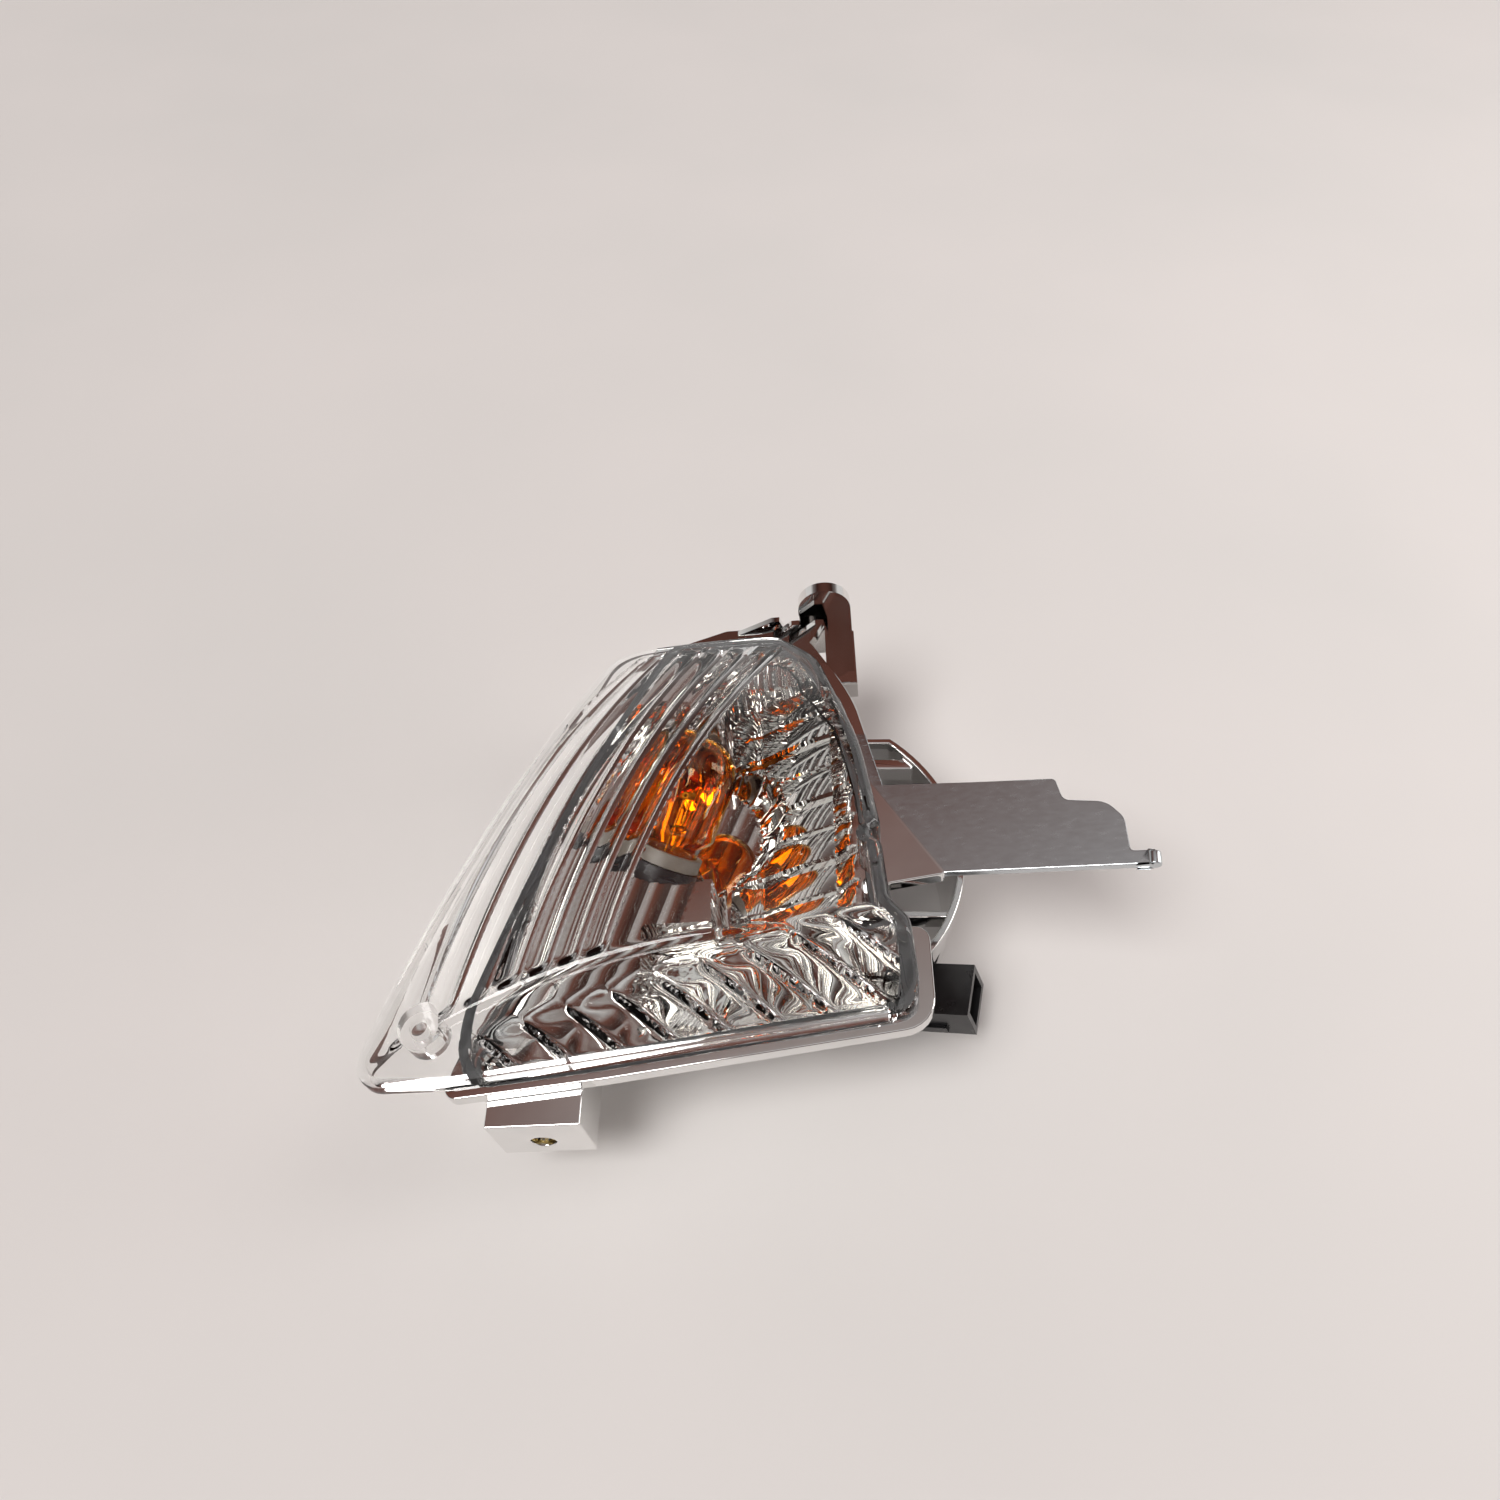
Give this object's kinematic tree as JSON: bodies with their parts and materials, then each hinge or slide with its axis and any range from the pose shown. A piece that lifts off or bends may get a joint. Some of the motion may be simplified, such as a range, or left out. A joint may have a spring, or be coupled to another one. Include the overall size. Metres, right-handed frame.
{
  "type": "motorcycle turn signal indicator",
  "caption": "Flush fairing turn signal lamp: clear fluted lens, metallised housing with stepped reflector, amber wedge bulb in a quarter-turn socket, and a wired plug.",
  "frame": {"origin": "bottom centre of the bounding box: Z 0 is the surface that the lamp lies on, X 0 and Y 0 the middle of its outline", "axes": "+Z out through the lens's face, +X towards the side plate, +Y towards the locating tab at the lamp's narrow end"},
  "size_m": [0.1634, 0.1262, 0.0583],
  "materials": {
    "metallised": "moulded plastic under a thin metallised coat",
    "metallised_bright": "moulded plastic under a bright metallised coat",
    "screw_steel": "zinc-plated steel",
    "clear_lens": "clear acrylic, polished outside",
    "black_rubber": "matt",
    "yellow_zinc": "yellow-passivated steel",
    "black_nylon": "satin",
    "spring_bronze": "satin",
    "amber_glass": "amber-coated glass",
    "bulb_plastic": "satin",
    "tinned_wire": "tinned",
    "tungsten": "dark drawn wire",
    "clear_glass": "clear glass",
    "green_rubber": "matt",
    "tinned_brass": "tin-plated",
    "black_wire": "vinyl insulation",
    "green_wire": "vinyl insulation",
    "sleeve_vinyl": "soft vinyl tube"
  },
  "bodies": {
    "lamp": {"housing": "metallised", "reflector": "metallised_bright", "reflector_screws": "screw_steel", "lens": "clear_lens", "lens_seal": "black_rubber", "breather_cap": "black_rubber", "clip_nut": "yellow_zinc", "plug_shell": "black_nylon", "plug_wire_seals": "green_rubber", "blade_live": "tinned_brass", "blade_earth": "tinned_brass", "lead_live": "black_wire", "lead_earth": "green_wire", "lead_sleeve": "sleeve_vinyl"},
    "socket": {"socket_body": "black_nylon", "socket_gasket": "black_rubber", "contact_live": "spring_bronze", "contact_earth": "spring_bronze"},
    "bulb": {"bulb_glass": "amber_glass", "bulb_base": "bulb_plastic", "bulb_tail_wires": "tinned_wire", "filament": "tungsten", "filament_posts": "tinned_wire", "glass_bead": "clear_glass"}
  },
  "joints": [
    {"name": "socket_twist", "type": "hinge", "parent": "lamp", "child": "socket", "pos_m": [-0.025, -0.00175, 0.0177], "axis": [0.3546, 0.7271, 0.5878], "range_deg": [-45, 0]},
    {"name": "bulb_pull", "type": "slide", "parent": "socket", "child": "bulb", "axis": [0.3546, 0.7271, 0.5878], "range_m": [0, 0.004]}
  ]
}
